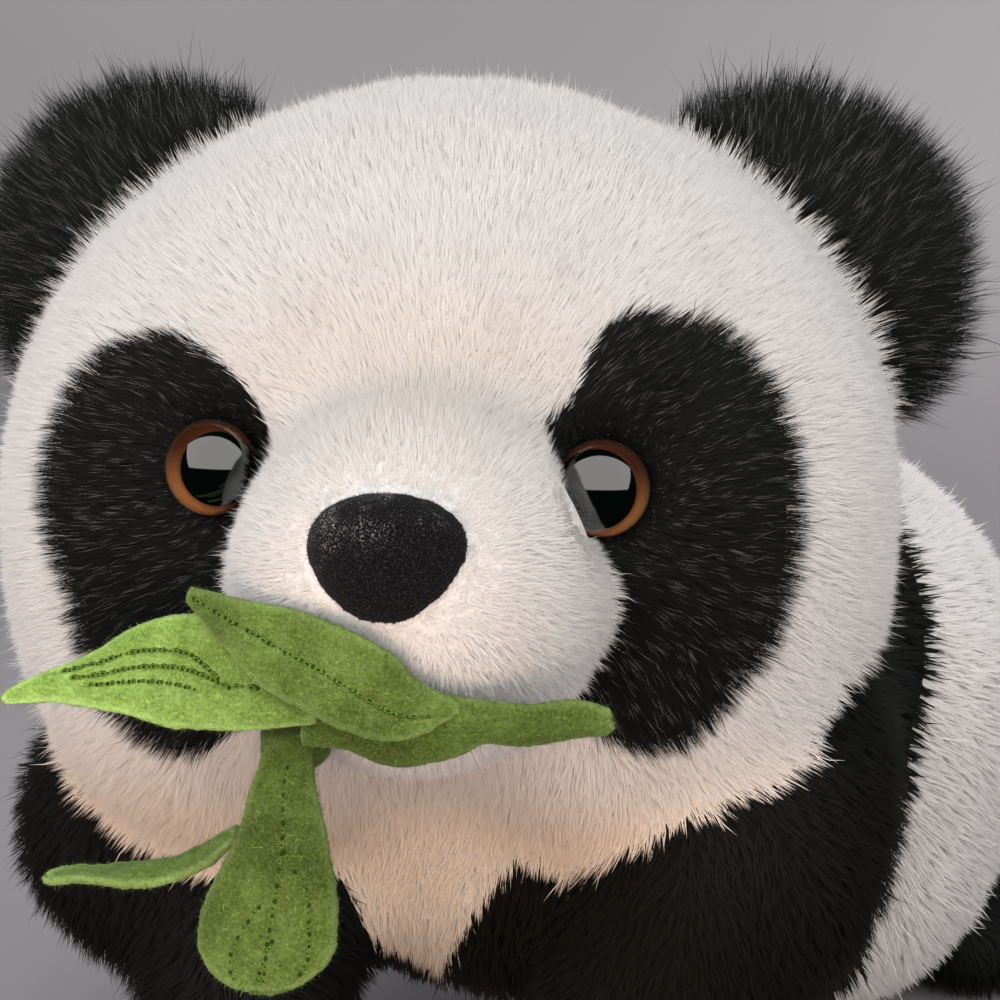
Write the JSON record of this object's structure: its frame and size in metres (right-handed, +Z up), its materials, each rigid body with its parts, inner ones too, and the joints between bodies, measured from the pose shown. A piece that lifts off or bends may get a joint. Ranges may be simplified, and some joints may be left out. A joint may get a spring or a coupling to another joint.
{
  "type": "plush panda toy",
  "caption": "Stuffed plush panda toy standing on short legs, head turned to its left, with glossy eyes, a flocked nose and a sprig of sewn felt bamboo leaves in its mouth",
  "frame": {"origin": "on the floor, under the middle of the toy's bounding box", "axes": "+Z up, -Y toward the chest and face, +Y toward the tail, +X toward the toy's own left"},
  "size_m": [0.2492, 0.4109, 0.2759],
  "materials": {
    "white_pile": "dense cream-white plush pile about 9 mm long, brushed outward from the nose",
    "black_pile": "black plush pile with grey highlights on its strands, longest on the ears",
    "black_flock": "black flocked nose, matt with a fine charcoal speckle",
    "eye_plastic": "clear glossy dome over an amber-brown ring and a black pupil",
    "green_felt": "thick green wool felt with stitched veins and fuzzy cut edges"
  },
  "bodies": {
    "root": {"head": "white_pile", "muzzle": "white_pile", "trunk": "white_pile", "tail": "white_pile", "ear_right": "black_pile", "ear_left": "black_pile", "foreleg_right": "black_pile", "foreleg_left": "black_pile", "hindleg_right": "black_pile", "hindleg_left": "black_pile", "nose": "black_flock", "eye_right": "eye_plastic", "eye_left": "eye_plastic", "sprig_knot": "green_felt", "leaf_upper": "green_felt", "leaf_long": "green_felt", "leaf_curled": "green_felt", "leaf_hanging": "green_felt", "leaf_side": "green_felt"}
  },
  "joints": []
}
